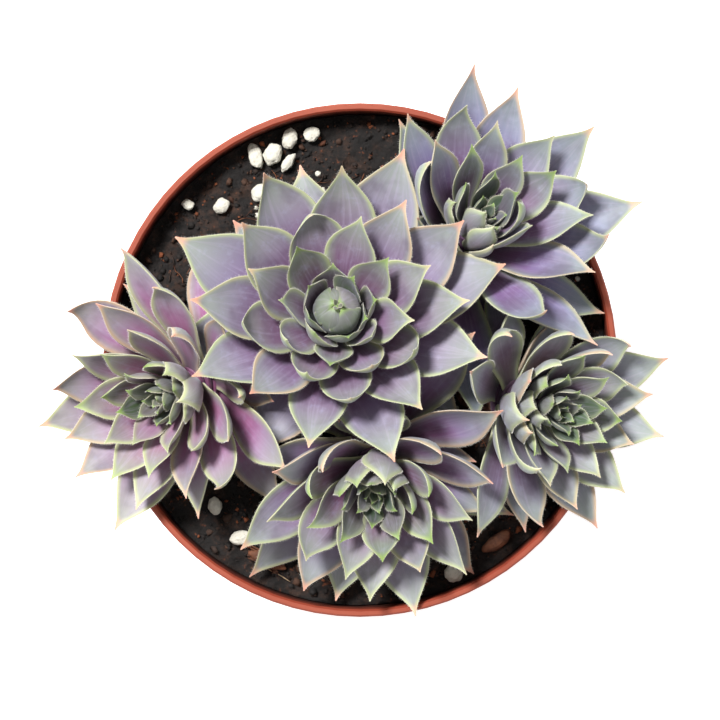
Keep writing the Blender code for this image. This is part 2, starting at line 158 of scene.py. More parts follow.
def through(points, at):
    """The height at a place on a smooth line through the points."""
    last = len(points) - 2
    index = next((i for i in range(last) if at < points[i + 1][0]), last)
    before, low, high, after = (points[min(max(i, 0), last + 1)] for i in range(index - 1, index + 3))
    span = high[0] - low[0]
    share = (at - low[0]) / span
    rise_in = (high[1] - before[1]) / (high[0] - before[0]) * span
    rise_out = (after[1] - low[1]) / (after[0] - low[0]) * span
    square, cube = share * share, share ** 3
    return ((2 * cube - 3 * square + 1) * low[1] + (cube - 2 * square + share) * rise_in
            + (3 * square - 2 * cube) * high[1] + (cube - square) * rise_out)


# ---------------------------------------------------------------- materials
def paint(red, green, blue):
    """A linear colour from the 0 to 255 values of a paint chart."""
    def linear(value):
        value /= 255
        return value / 12.92 if value <= 0.04045 else ((value + 0.055) / 1.055) ** 2.4
    return (linear(red), linear(green), linear(blue), 1.0)


class Finish:
    """A material whose pattern is built up node by node and ends in one Principled shader."""

    def __init__(self, name, **sockets):
        self.made = bpy.data.materials.new(name)
        self.made.use_nodes = True
        self.nodes = self.made.node_tree.nodes
        self.shader = self.nodes["Principled BSDF"]
        for socket, value in sockets.items():
            self.shader.inputs[socket.replace("_", " ").title().replace("Ior", "IOR")].default_value = value

    def feed(self, socket, value):
        """Links an output to the socket, or sets the socket to a number or colour."""
        if isinstance(value, bpy.types.NodeSocket):
            self.made.node_tree.links.new(value, socket)
        else:
            socket.default_value = value

    def place(self):
        return self.nodes.new("ShaderNodeTexCoord").outputs["Object"]

    def facing(self):
        """The direction that the surface faces."""
        return self.nodes.new("ShaderNodeTexCoord").outputs["Normal"]

    def split(self, vector):
        parts = self.nodes.new("ShaderNodeSeparateXYZ")
        self.feed(parts.inputs[0], vector)
        return parts.outputs

    def attribute(self, name):
        """The three numbers of a vector that is kept at each point of the piece."""
        source = self.nodes.new("ShaderNodeAttribute")
        source.attribute_name = name
        return self.split(source.outputs["Vector"])

    def noise(self, scale, detail=4.0, roughness=0.6, where=None, distortion=0.0):
        made = self.nodes.new("ShaderNodeTexNoise")
        self.feed(made.inputs["Vector"], where or self.place())
        made.inputs["Scale"].default_value = scale
        made.inputs["Detail"].default_value = detail
        made.inputs["Roughness"].default_value = roughness
        made.inputs["Distortion"].default_value = distortion
        return made.outputs["Fac"]

    def join(self, x, y, z):
        """A vector of three numbers or outputs."""
        made = self.nodes.new("ShaderNodeCombineXYZ")
        for socket, value in zip(made.inputs, (x, y, z)):
            self.feed(socket, value)
        return made.outputs[0]

    def cells(self, scale, output="Distance"):
        made = self.nodes.new("ShaderNodeTexVoronoi")
        self.feed(made.inputs["Vector"], self.place())
        made.inputs["Scale"].default_value = scale
        return made.outputs[output]

    def maths(self, operation, first, second=0.0, clamp=False):
        made = self.nodes.new("ShaderNodeMath")
        made.operation = operation
        made.use_clamp = clamp
        self.feed(made.inputs[0], first)
        self.feed(made.inputs[1], second)
        return made.outputs[0]

    def level(self, value, low, high):
        """0 where the value is low or under, 1 where it is high or over; high may be the smaller one."""
        made = self.nodes.new("ShaderNodeMapRange")
        made.interpolation_type = "SMOOTHSTEP"
        self.feed(made.inputs["Value"], value)
        ends = ((low, 0.0), (high, 1.0)) if low < high else ((high, 1.0), (low, 0.0))
        made.inputs["From Min"].default_value, made.inputs["To Min"].default_value = ends[0]
        made.inputs["From Max"].default_value, made.inputs["To Max"].default_value = ends[1]
        return made.outputs["Result"]

    def ramp(self, value, *stops):
        made = self.nodes.new("ShaderNodeValToRGB")
        self.feed(made.inputs["Fac"], value)
        elements = made.color_ramp.elements
        while len(elements) < len(stops):
            elements.new(1.0)
        for element, (position, color) in zip(elements, stops):
            element.position = position
            element.color = color
        return made.outputs["Color"]

    def mix(self, factor, first, second):
        made = self.nodes.new("ShaderNodeMix")
        made.data_type = "RGBA"
        self.feed(made.inputs[0], factor)
        self.feed(made.inputs[6], first)
        self.feed(made.inputs[7], second)
        return made.outputs[2]

    def color(self, value):
        self.feed(self.shader.inputs["Base Color"], value)

    def roughness(self, value):
        self.feed(self.shader.inputs["Roughness"], value)

    def bump(self, height, strength, distance):
        made = self.nodes.new("ShaderNodeBump")
        made.inputs["Strength"].default_value = strength
        made.inputs["Distance"].default_value = distance
        self.feed(made.inputs["Height"], height)
        self.feed(self.shader.inputs["Normal"], made.outputs["Normal"])


# blade colours of one rosette's leaves: youngest, middle-aged, oldest; foot; tip; edge; old tip. The
# youngest is a green darkened as painted shade in the heart
Blade = namedtuple("Blade", "young middle old foot tip edge point")
BLADES = {
    "centre": Blade(paint(68, 84, 56), paint(120, 96, 120), paint(128, 112, 150), paint(106, 60, 92),
                    paint(140, 152, 134), paint(178, 190, 124), paint(224, 150, 130)),
    "left": Blade(paint(50, 74, 34), paint(140, 106, 132), paint(154, 124, 164), paint(172, 84, 130),
                  paint(144, 152, 132), paint(186, 194, 128), paint(228, 156, 138)),
    "top": Blade(paint(40, 64, 30), paint(114, 96, 126), paint(126, 120, 170), paint(116, 62, 106),
                 paint(134, 148, 136), paint(176, 186, 128), paint(216, 158, 136)),
    "bottom": Blade(paint(48, 72, 36), paint(124, 100, 126), paint(136, 122, 162), paint(136, 70, 112),
                    paint(142, 154, 136), paint(182, 192, 128), paint(226, 158, 138)),
    "right": Blade(paint(46, 70, 36), paint(120, 108, 122), paint(132, 128, 154), paint(110, 68, 96),
                   paint(142, 154, 138), paint(180, 190, 130), paint(222, 160, 140)),
}


def leaf_skin(name, blade):
    """Waxy skin: purple foot deepened by painted shade, lavender blade, grey-green tip, yellow-green margin
    with a white edge.
    """
    skin = Finish(name, sheen_weight=0.22, sheen_roughness=0.45, subsurface_weight=0.08)
    skin.shader.inputs["Subsurface Radius"].default_value = (1.6 * MM, 1.2 * MM, 0.9 * MM)
    skin.shader.inputs["Subsurface Scale"].default_value = 1.0
    skin.shader.inputs["Sheen Tint"].default_value = paint(222, 224, 240)
    along, across, age = skin.attribute("growth")
    margin, chance, upper = skin.attribute("skin")
    cloud = skin.noise(110, 3.0)
    mottle = skin.noise(420, 5.0, 0.65)
    streak_place = skin.join(skin.maths("MULTIPLY", across, 5.0), skin.maths("MULTIPLY", along, 1.2),
                             skin.maths("MULTIPLY", chance, 40.0))
    streak = skin.noise(1.6, 4.0, 0.6, streak_place)

    aged = skin.maths("ADD", age, skin.maths("MULTIPLY", skin.maths("SUBTRACT", chance, 0.5), 0.35), True)
    # the youngest leaves take a real green that is darkened as painted shade in the heart
    flesh = skin.ramp(aged, (0.0, blade.young), (0.30, blade.middle), (0.90, blade.old))
    foot_reach = skin.maths("ADD", along, skin.maths("MULTIPLY", skin.maths("SUBTRACT", cloud, 0.5), 0.5))
    foot = skin.maths("MULTIPLY", skin.level(foot_reach, 0.86, 0.16), skin.level(age, 0.02, 0.30))
    flesh = skin.mix(skin.maths("MULTIPLY", foot, 0.85), flesh, blade.foot)
    grown = skin.maths("ADD", 0.25, skin.maths("MULTIPLY", skin.level(age, 0.02, 0.30), 0.75))
    near_edge = skin.maths("MULTIPLY", skin.level(margin, 0.85, 0.05), 0.85)
    green = skin.maths("MAXIMUM", skin.level(along, 0.45, 0.98), near_edge)
    green = skin.maths("MULTIPLY", green, grown)
    flesh = skin.mix(skin.maths("MULTIPLY", green, 0.82), flesh, blade.tip)

    below = skin.mix(0.45, flesh, paint(138, 142, 132))
    flesh = skin.mix(skin.level(upper, 0.35, 0.1), flesh, below)
    lines = skin.maths("MULTIPLY", skin.level(streak, 0.45, 0.70), 0.22)
    flesh = skin.mix(lines, flesh, paint(176, 164, 188))
    bloom = skin.maths("MULTIPLY", skin.level(mottle, 0.50, 0.78), 0.28)
    flesh = skin.mix(skin.maths("MULTIPLY", bloom, grown), flesh, paint(168, 170, 198))
    shade = skin.maths("MULTIPLY", skin.level(cloud, 0.54, 0.30), 0.38)
    flesh = skin.mix(shade, flesh, paint(78, 60, 88))
    # painted shade: the foot of each leaf, away from its edge, is painted blackish purple for the shade
    # among the leaves
    painted_foot_shade = skin.maths("MULTIPLY", skin.level(along, 0.55, 0.12), skin.level(margin, 0.05, 0.45))
    flesh = skin.mix(skin.maths("MULTIPLY", painted_foot_shade, 0.72), flesh, paint(58, 36, 56))

    rusty = skin.maths("MULTIPLY", skin.level(chance, 0.55, 0.80), skin.level(aged, 0.45, 0.80))
    edge = skin.mix(skin.maths("MULTIPLY", rusty, 0.7), blade.edge, paint(212, 152, 124))
    band = skin.maths("MULTIPLY", skin.level(margin, 0.34, 0.0), skin.maths("MULTIPLY", grown, 0.66))
    flesh = skin.mix(band, flesh, edge)
    pale_line = skin.maths("MULTIPLY", skin.level(margin, 0.07, 0.0), 0.55)
    flesh = skin.mix(pale_line, flesh, paint(216, 208, 184))
    young_point = skin.maths("MULTIPLY", skin.level(along, 0.80, 0.96), skin.level(aged, 0.45, 0.15))
    flesh = skin.mix(skin.maths("MULTIPLY", young_point, 0.8), flesh, paint(122, 152, 66))
    old_point = skin.maths("MULTIPLY", skin.level(along, 0.90, 0.98), skin.level(aged, 0.40, 0.80))
    flesh = skin.mix(skin.maths("MULTIPLY", old_point, 0.75), flesh, blade.point)
    hair = skin.level(margin, -0.2, -0.8)
    flesh = skin.mix(hair, flesh, paint(236, 234, 222))
    skin.color(flesh)
    skin.roughness(skin.maths("ADD", 0.42, skin.maths("MULTIPLY", mottle, 0.25)))
    skin.bump(skin.noise(1500, 3.0), 0.25, 0.10 * MM)
    return skin.made


def pot_plastic():
    """Moulded terracotta-coloured plastic, matt and dusty; its inner wall is painted darker as shade,
    deepening towards the soil together with soil stain.
    """
    plastic = Finish("terracotta plastic", specular_ior_level=0.3)
    where = plastic.place()
    x, y, z = plastic.split(where)
    radius = plastic.maths("SQRT", plastic.maths("ADD", plastic.maths("MULTIPLY", x, x),
                                                 plastic.maths("MULTIPLY", y, y)))
    grain = plastic.noise(900, 4.0)
    smear = plastic.noise(60, 5.0, 0.7)
    color = plastic.mix(plastic.level(smear, 0.35, 0.75), paint(142, 65, 45), paint(152, 75, 55))
    facing = plastic.split(plastic.facing())
    outward = plastic.maths("ADD", plastic.maths("MULTIPLY", x, facing[0]),
                            plastic.maths("MULTIPLY", y, facing[1]))
    # painted shade: the inward-facing wall is painted a darker red
    inside = plastic.level(plastic.maths("DIVIDE", outward, radius), -0.3, -0.6)
    inside = plastic.maths("MULTIPLY", inside, plastic.level(z, POT_FLOOR_TOP, POT_FLOOR_TOP + MM))
    # soil stain and painted shade: the inner wall darkens towards the soil, in patches
    depth = plastic.level(z, RIM_HEIGHT - 1 * MM, SOIL_TOP)
    color = plastic.mix(plastic.maths("MULTIPLY", inside, 0.7), color, paint(124, 46, 28))
    patches = plastic.maths("MULTIPLY", plastic.maths("SUBTRACT", smear, 0.5), 1.4)
    soil_stain_and_shade = plastic.maths("ADD", depth, patches)
    soil_stain_and_shade = plastic.maths("MULTIPLY", inside, plastic.level(soil_stain_and_shade, 0.35, 1.0))
    color = plastic.mix(plastic.maths("MULTIPLY", soil_stain_and_shade, 0.85), color, paint(52, 28, 20))
    plastic.color(color)
    plastic.roughness(plastic.maths("ADD", 0.52, plastic.maths("MULTIPLY", smear, 0.2)))
    plastic.bump(grain, 0.15, 0.08 * MM)
    return plastic.made


def soil_peat():
    """Moist dark peat with brown and rusty bits."""
    peat = Finish("potting soil")
    grain = peat.noise(700, 8.0, 0.75)
    lumps = peat.cells(420)
    tone = peat.noise(260, 6.0, 0.7)
    color = peat.ramp(tone, (0.32, paint(6, 5, 4)), (0.50, paint(24, 17, 14)), (0.70, paint(66, 44, 32)))
    rust = peat.level(peat.noise(520, 2.0), 0.66, 0.74)
    color = peat.mix(peat.maths("MULTIPLY", rust, 0.6), color, paint(126, 66, 36))
    peat.color(color)
    peat.roughness(peat.maths("ADD", 0.62, peat.maths("MULTIPLY", grain, 0.35)))
    peat.bump(peat.maths("ADD", grain, lumps), 0.9, 0.9 * MM)
    return peat.made


def crumb_peat():
    """Loose crumbs, each of its own brown."""
    peat = Finish("peat crumbs")
    tone, rust, _ = peat.attribute("crumb")
    grain = peat.noise(1400, 5.0, 0.7)
    color = peat.ramp(tone, (0.0, paint(8, 6, 5)), (0.55, paint(28, 20, 16)), (0.9, paint(78, 50, 34)))
    color = peat.mix(peat.level(rust, 0.86, 0.94), color, paint(140, 76, 42))
    color = peat.mix(peat.maths("MULTIPLY", grain, 0.45), color, paint(20, 14, 11))
    peat.color(color)
    peat.roughness(peat.maths("ADD", 0.65, peat.maths("MULTIPLY", grain, 0.3)))
    peat.bump(grain, 0.8, 0.3 * MM)
    return peat.made


def perlite_glass():
    """Puffed volcanic glass: chalky, off-white, with pores painted darker as shade, and spots of soil
    stain.
    """
    glass = Finish("perlite", subsurface_weight=0.05)
    glass.shader.inputs["Subsurface Radius"].default_value = (0.8 * MM, 0.7 * MM, 0.6 * MM)
    glass.shader.inputs["Subsurface Scale"].default_value = 1.0
    pores = glass.cells(1500)
    grain = glass.noise(1200, 5.0, 0.7)
    stain = glass.level(glass.noise(500, 4.0), 0.60, 0.78)
    color = glass.mix(grain, paint(190, 186, 170), paint(220, 216, 204))
    # painted shade: the pores are painted darker for the shade in their hollows
    color = glass.mix(glass.level(pores, 0.22, 0.05), color, paint(160, 152, 134))
    color = glass.mix(glass.maths("MULTIPLY", stain, 0.6), color, paint(150, 120, 92))
    glass.color(color)
    glass.roughness(glass.maths("ADD", 0.75, glass.maths("MULTIPLY", grain, 0.2)))
    glass.bump(glass.maths("ADD", grain, pores), 0.6, 0.25 * MM)
    return glass.made


def bark_fibre(name, dark, light):
    """Streaky plant fibre: old bark, stalks, roots and straw."""
    fibre = Finish(name)
    grain = fibre.noise(900, 6.0, 0.7)
    streak = fibre.noise(240, 4.0, 0.6, distortion=1.5)
    color = fibre.mix(fibre.level(streak, 0.35, 0.65), dark, light)
    color = fibre.mix(fibre.maths("MULTIPLY", grain, 0.35), color, paint(34, 20, 14))
    fibre.color(color)
    fibre.roughness(fibre.maths("ADD", 0.65, fibre.maths("MULTIPLY", grain, 0.25)))
    fibre.bump(fibre.maths("ADD", grain, streak), 0.6, 0.3 * MM)
    return fibre.made


# ---------------------------------------------------------------- finishing a piece
def finish_piece(name, bm, finish, replaced=()):
    """Makes the bmesh a smooth piece that rides on the plant and stands for the replaced nodes."""
    mesh = bpy.data.meshes.new(name)
    bm.to_mesh(mesh)
    bm.free()
    mesh.shade_smooth()
    mesh.materials.append(finish)
    piece = bpy.data.objects.new(name, mesh)
    bpy.context.scene.collection.objects.link(piece)
    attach(piece, "root")
    if replaced:
        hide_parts(*replaced)
    return piece


def spun(profile, steps):
    """A round solid about +Z from a profile of (radius, height) pairs that starts and ends on the axis."""
    bm = bmesh.new()
    points = [bm.verts.new((radius, 0, height)) for radius, height in profile]
    edges = [bm.edges.new(pair) for pair in zip(points, points[1:])]
    bmesh.ops.spin(bm, geom=points + edges, cent=(0, 0, 0), axis=(0, 0, 1), angle=math.tau,
                   steps=steps, use_merge=True, use_duplicate=False)
    bmesh.ops.remove_doubles(bm, verts=bm.verts, dist=0.01 * MM)
    return bm


# ---------------------------------------------------------------- the rosettes' frames and leaves
Leaf = namedtuple("Leaf", "number age azimuth foot_out foot_up length elevation curl half_width thickness")
Growth = namedtuple("Growth", "roll twist bend cupping hood flick chance")


def crown_matrix(rosette):
    """Places a rosette: +Z along its leaning axis, +X above the ground's +X, origin under its collars."""
    lean = math.radians(rosette.lean)
    toward = math.radians(rosette.lean_to)
    level = math.sin(lean)
    axis = Vector((level * math.cos(toward), level * math.sin(toward), math.cos(lean)))
    across = (Vector((1, 0, 0)) - axis * axis.x).normalized()
    turn = Matrix((across, axis.cross(across), axis)).transposed().to_4x4()
    crown = (rosette.across * MOUTH_RADIUS, rosette.up * MOUTH_RADIUS, SOIL_TOP + rosette.height)
    return Matrix.Translation(crown) @ turn


def collar_radius(whorl):
    return blend(LOWEST_COLLAR_RADIUS, HIGHEST_COLLAR_RADIUS, whorl / (WHORLS - 1))


def modelled_tip(node, matrix, azimuth, foot):
    """The tip, out and up in its own plane, of the model's leaf in this direction, if it has one."""
    radial = Vector((math.cos(azimuth), math.sin(azimuth), 0))
    sideways = Vector((-radial.y, radial.x, 0))
    found = []
    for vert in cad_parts[node].data.vertices:
        point = matrix @ vert.co
        off_axis = math.hypot(point.x, point.y)
        if abs(point.dot(sideways)) < 0.01 * MM and point.dot(radial) > -4 * MM and off_axis > 0.05 * MM:
            place = Vector((point.dot(radial), point.z))
            found.append(((place - foot).length, place))
    reach, tip = max(found, default=(0.0, None), key=lambda pair: pair[0])
    return tip if reach > 2 * MM else None


def modelled_leaf(rosette, number):
    """The leaf of this number, 0 the youngest, as long and as steep as it stands in the model."""
    age = number / (LEAF_COUNT - 1)
    whorl = WHORLS - 1 - number // WHORL_LEAVES
    azimuth = math.radians(rosette.youngest) + rosette.turn * GOLDEN_ANGLE * number
    foot = Vector((collar_radius(whorl), whorl * COLLAR_PITCH + COLLAR_HEIGHT / 2))
    node = f"{rosette.name}_leaves_{whorl + 1}"
    tip = modelled_tip(node, crown_matrix(rosette).inverted(), azimuth, foot)
    if tip is None:
        return None
    chord = tip - foot
    curl = STRAIGHTENED * blend(YOUNGEST_CURL, OLDEST_CURL, age, 0.6)
    length = chord.length * (curl / 2) / math.sin(curl / 2)
    return Leaf(
        number=number,
        age=age,
        azimuth=azimuth,
        foot_out=foot.x,
        foot_up=foot.y,
        length=length,
        elevation=math.atan2(chord.y, chord.x),
        curl=curl,
        half_width=length * blend(YOUNGEST_HALF_WIDTH, rosette.broad, age, 0.6),
        thickness=blend(YOUNGEST_THICKNESS, OLDEST_THICKNESS, age),
    )


def cup_leaf(rosette, number):
    """One of the leaves that stand close round the bud and open at their points."""
    leaf = modelled_leaf(rosette, number + WHORL_LEAVES)
    share = number / CUP_LEAVES
    whorl = WHORLS - 1 - number // WHORL_LEAVES
    length = blend(11.5 * MM, 15.0 * MM, share)
    return leaf._replace(
        number=number,
        age=number / (LEAF_COUNT - 1),
        azimuth=math.radians(rosette.youngest) + rosette.turn * GOLDEN_ANGLE * number,
        foot_out=collar_radius(whorl),
        foot_up=whorl * COLLAR_PITCH + COLLAR_HEIGHT / 2,
        length=length,
        elevation=math.radians(blend(72, 66, share)),
        curl=math.radians(blend(84, 62, share)),
        half_width=length * 0.33,
        thickness=blend(YOUNGEST_THICKNESS, 1.3 * MM, share),
    )


def old_leaf(rosette, number, size, lowered):
    """A leaf under the lowest whorl, made smaller and lowered from the way it would like to grow."""
    age = number / OLD_LEAVES
    azimuth = math.radians(rosette.youngest) + rosette.turn * GOLDEN_ANGLE * (LEAF_COUNT + number)
    length = rosette.longest * blend(0.98, 0.80, age) * size
    return Leaf(
        number=LEAF_COUNT + number,
        age=1.0,
        azimuth=azimuth,
        foot_out=LOWEST_COLLAR_RADIUS - 1.5 * MM,
        foot_up=-0.4 * MM - 0.25 * MM * number,
        length=length,
        elevation=math.radians(blend(18, 4, age)) - lowered,
        curl=OLDEST_CURL * 3,
        half_width=length * rosette.broad * blend(1.0, 1.15, 1 - size),
        thickness=OLDEST_THICKNESS,
    )


def crowded_leaf(rosette, number, size, raised):
    """A leaf that the plain model has no room for, made smaller and raised."""
    age = number / (LEAF_COUNT - 1)
    whorl = WHORLS - 1 - number // WHORL_LEAVES
    length = rosette.longest * blend(0.5, 1.0, age) * size
    return Leaf(
        number=number,
        age=age,
        azimuth=math.radians(rosette.youngest) + rosette.turn * GOLDEN_ANGLE * number,
        foot_out=collar_radius(whorl),
        foot_up=whorl * COLLAR_PITCH + COLLAR_HEIGHT / 2,
        length=length,
        elevation=math.radians(blend(60, 22, age)) + raised,
        curl=STRAIGHTENED * blend(YOUNGEST_CURL, OLDEST_CURL, age, 0.6),
        half_width=length * rosette.broad,
        thickness=OLDEST_THICKNESS,
    )


def own_growth(seed, age, crowded=False):
    """How one leaf differs from its neighbours."""
    luck = random.Random(seed)
    hooded = luck.random() < (0.65 if crowded else 0.25) and 0.12 < age < 0.85
    return Growth(
        roll=math.radians(luck.uniform(-9, 9)),
        twist=math.radians(luck.uniform(-16, 16)),
        bend=luck.uniform(-0.05, 0.05),
        cupping=CUPPING * luck.uniform(0.75, 1.25),
        hood=math.radians(luck.uniform(35, 80)) if hooded else math.radians(luck.uniform(-6, 12)),
        flick=math.radians(luck.uniform(-18, 22) - blend(65, 0, age, 0.7)),
        chance=luck.random(),
    )


def spine(leaf, growth):
    """Places and slopes along the leaf's middle line, from inside the collar to the tip."""
    start = leaf.elevation - leaf.curl / 2
    step = leaf.length / SPINE_STEPS
    out, up = leaf.foot_out, leaf.foot_up
    line = []
    for index in range(SPINE_STEPS + 1):
        share = index / SPINE_STEPS
        slope = start + leaf.curl * share
        slope += growth.hood * eased((share - HOOD_START) / (1 - HOOD_START))
        slope += growth.flick * eased((share - FLICK_START) / (1 - FLICK_START))
        line.append((out, up, slope))
        out += step * math.cos(slope)
        up += step * math.sin(slope)
    return line


def along_spine(line, share):
    """The place and slope at a share of the length, which may lie a little before the foot."""
    at = share * SPINE_STEPS
    index = min(max(int(at), 0), SPINE_STEPS - 1)
    return [low + (high - low) * (at - index) for low, high in zip(line[index], line[index + 1])]


def station(leaf, growth, line, along):
    """Half width, middle, and the ways ahead, to the side and up, at a share of a leaf's length."""
    half = leaf.half_width * through(OUTLINE, along)
    radial = Vector((math.cos(leaf.azimuth), math.sin(leaf.azimuth), 0))
    sideways = Vector((-radial.y, radial.x, 0))
    out, up, slope = along_spine(line, along * (1 + FOOT_SUNK) - FOOT_SUNK)
    turn = growth.roll + growth.twist * along
    ahead = radial * math.cos(slope) + Vector((0, 0, math.sin(slope)))
    normal = radial * -math.sin(slope) + Vector((0, 0, math.cos(slope)))
    middle = radial * out + Vector((0, 0, up)) + sideways * (growth.bend * leaf.length * along ** 2)
    level = sideways * math.cos(turn) + normal * math.sin(turn)
    raised = normal * math.cos(turn) - sideways * math.sin(turn)
    return half, middle, ahead, level, raised


def draw_blade(bm, leaf, growth):
    """Draws a sphere out into one leaf, and notes on its points what the skin needs."""
    growth_layer = bm.verts.layers.float_vector["growth"]
    skin_layer = bm.verts.layers.float_vector["skin"]
    line = spine(leaf, growth)
    stations = {}
    ball = bmesh.ops.create_uvsphere(bm, u_segments=BLADE_RING, v_segments=BLADE_STATIONS, radius=1.0)
    for vert in ball["verts"]:
        along = min(1.0, max(0.0, (1 - vert.co.z) / 2))
        key = round(along, 5)
        if key not in stations:
            flesh = leaf.thickness * through(FLESH, along)
            stations[key] = (flesh, *station(leaf, growth, line, along))
        flesh, half, middle, _, level, raised = stations[key]
        size = math.hypot(vert.co.x, vert.co.y)
        across = vert.co.x / size if size > 1e-6 else 0.0
        height = vert.co.y / size if size > 1e-6 else 0.0
        lift = growth.cupping * half * across ** 2
        if height > 0:
            lift += UPPER_FLESH * flesh * height
        else:
            lift -= LOWER_FLESH * flesh * abs(height) ** (1 + along)
        if size <= 1e-6:
            half, lift = 0.0, 0.0
        vert.co = middle + level * (half * across) + raised * lift
        edge = min(1.0, half * (1 - abs(across)) / MARGIN_REACH)
        vert[growth_layer] = (along, across, leaf.age)
        vert[skin_layer] = (edge, growth.chance, 0.5 + 0.5 * height)
    return line


def add_fringe(bm, leaf, growth, line, seed):
    """Sets fine hairs along both edges of a leaf."""
    luck = random.Random(seed)
    growth_layer = bm.verts.layers.float_vector["growth"]
    skin_layer = bm.verts.layers.float_vector["skin"]
    count = int(leaf.length * 0.8 / HAIR_SPACING)
    for side in (-1, 1):
        for index in range(count):
            along = 0.22 + 0.76 * (index + luck.uniform(-0.3, 0.3)) / count
            half, middle, ahead, level, raised = station(leaf, growth, line, along)
            root = middle + (level * (side * half * 0.995) + raised * (growth.cupping * half))
            lean = level * side + ahead * luck.uniform(0.2, 0.9) + raised * luck.uniform(-0.1, 0.5)
            length = HAIR_LENGTH * luck.uniform(0.6, 1.2)
            place = Matrix.Translation(root + lean.normalized() * (length * 0.4))
            place = place @ lean.to_track_quat("Z", "Y").to_matrix().to_4x4()
            hair = bmesh.ops.create_cone(bm, segments=3, radius1=HAIR_RADIUS, radius2=0.0,
                                         depth=length, cap_ends=True, matrix=place)
            for vert in hair["verts"]:
                vert[growth_layer] = (along, side, leaf.age)
                vert[skin_layer] = (-1.0, growth.chance, 1.0)


def leaf_bmesh():
    bm = bmesh.new()
    bm.verts.layers.float_vector.new("growth")
    bm.verts.layers.float_vector.new("skin")
    return bm


def draw_collar(bm, whorl):
    """The slice of stem that a whorl grows from."""
    radius = collar_radius(whorl)
    middle = whorl * COLLAR_PITCH + COLLAR_HEIGHT / 2
    made = bmesh.ops.create_cone(bm, cap_ends=True, segments=24, radius1=radius, radius2=radius,
                                 depth=COLLAR_HEIGHT, matrix=Matrix.Translation((0, 0, middle)))
    rims = {edge for vert in made["verts"] for edge in vert.link_edges if len(edge.link_faces) == 2}
    rims = [edge for edge in rims if any(len(face.verts) > 4 for face in edge.link_faces)]
    growth_layer = bm.verts.layers.float_vector["growth"]
    skin_layer = bm.verts.layers.float_vector["skin"]
    for vert in made["verts"]:
        vert[growth_layer] = (0.1, 0.0, 0.6)
        vert[skin_layer] = (1.0, 0.5, 0.5)
    bmesh.ops.bevel(bm, geom=rims, offset=0.35 * MM, affect="EDGES", segments=2, profile=0.5, material=-1)


def heart_leaf(rosette, number):
    """One of the smallest leaves, a narrow upright scale inside the youngest whorl."""
    share = number / HEART_LEAVES
    length = blend(10.5 * MM, 5.0 * MM, share)
    return Leaf(
        number=-number,
        age=0.0,
        azimuth=math.radians(rosette.youngest) - rosette.turn * GOLDEN_ANGLE * number,
        foot_out=blend(HIGHEST_COLLAR_RADIUS, 0.5 * MM, share),
        foot_up=CROWN_TOP + blend(-0.5 * MM, 0.8 * MM, share),
        length=length,
        elevation=math.radians(blend(70, 86, share)),
        curl=math.radians(blend(30, 8, share)),
        half_width=length * 0.25,
        thickness=blend(YOUNGEST_THICKNESS, 0.8 * MM, share),
    )


def draw_bud(bm, rosette):
    """The centre rosette's closed bud: a ball wrapped in tight scales whose points meet in a tuft."""
    growth_layer = bm.verts.layers.float_vector["growth"]
    skin_layer = bm.verts.layers.float_vector["skin"]
    middle = CROWN_TOP + BUD_RADIUS * 0.9
    size = Matrix.Diagonal((BUD_RADIUS, BUD_RADIUS, BUD_RADIUS * 1.02, 1))
    ball = bmesh.ops.create_uvsphere(bm, u_segments=32, v_segments=20, radius=1.0,
                                     matrix=Matrix.Translation((0, 0, middle)) @ size)
    for vert in ball["verts"]:
        vert[growth_layer] = (0.62, 0.0, 0.12)
        vert[skin_layer] = (1.0, 0.45, 1.0)
    for number in range(BUD_SCALES):
        share = number / (BUD_SCALES - 1)
        radius = BUD_RADIUS + blend(0.10 * MM, 0.55 * MM, share)
        sweep = math.radians(blend(126, 112, share))
        scale = Leaf(
            number=-number - 1,
            age=0.05,
            azimuth=math.radians(rosette.youngest) - rosette.turn * GOLDEN_ANGLE * (number + 1),
            foot_out=radius * math.sin(BUD_FOOT_ANGLE),
            foot_up=middle - radius * math.cos(BUD_FOOT_ANGLE),
            length=radius * sweep,
            elevation=BUD_FOOT_ANGLE + sweep / 2,
            curl=sweep,
            half_width=radius * blend(1.0, 0.85, share),
            thickness=0.6 * MM,
        )
        growth = own_growth(f"{rosette.name} scale {number}", 0.0)
        growth = growth._replace(cupping=0.42, hood=0.0, roll=0.0, twist=0.0, flick=math.radians(-8))
        draw_blade(bm, scale, growth)
    for number in range(TUFT_LEAVES):
        tuft = Leaf(
            number=number,
            age=0.0,
            azimuth=math.radians(120 * number),
            foot_out=0.1 * MM,
            foot_up=middle + BUD_RADIUS,
            length=2.8 * MM,
            elevation=math.radians(64),
            curl=math.radians(20),
            half_width=0.6 * MM,
            thickness=0.4 * MM,
        )
        growth = own_growth(f"tuft {number}", 0.0)
        draw_blade(bm, tuft, growth._replace(hood=0.0, flick=0.0))


def leaf_growth(rosette, leaf):
    inward = math.cos(leaf.azimuth - math.radians(rosette.lean_to)) < -0.2
    return own_growth(f"{rosette.name} {leaf.number}", leaf.age, inward)


def draw_leaf(bm, rosette, leaf):
    """Draws one leaf with its own way of growing, and its fringe."""
    growth = leaf_growth(rosette, leaf)
    line = draw_blade(bm, leaf, growth)
    add_fringe(bm, leaf, growth, line, f"{rosette.name} fringe {leaf.number}")


def leaf_tree(rosette, leaf):
    """The part of a leaf that must be clear of all others, as a search tree."""
    bm = leaf_bmesh()
    draw_blade(bm, leaf, leaf_growth(rosette, leaf))
    growth_layer = bm.verts.layers.float_vector["growth"]
    matrix = crown_matrix(rosette)
    bm.verts.index_update()
    corners = [matrix @ vert.co for vert in bm.verts]
    faces = [[vert.index for vert in face.verts] for face in bm.faces
             if all(vert[growth_layer][0] > FREE_FROM for vert in face.verts)]
    lowest = min(corners[index].z for face in faces for index in face)
    bm.free()
    return BVHTree.FromPolygons(corners, faces), lowest


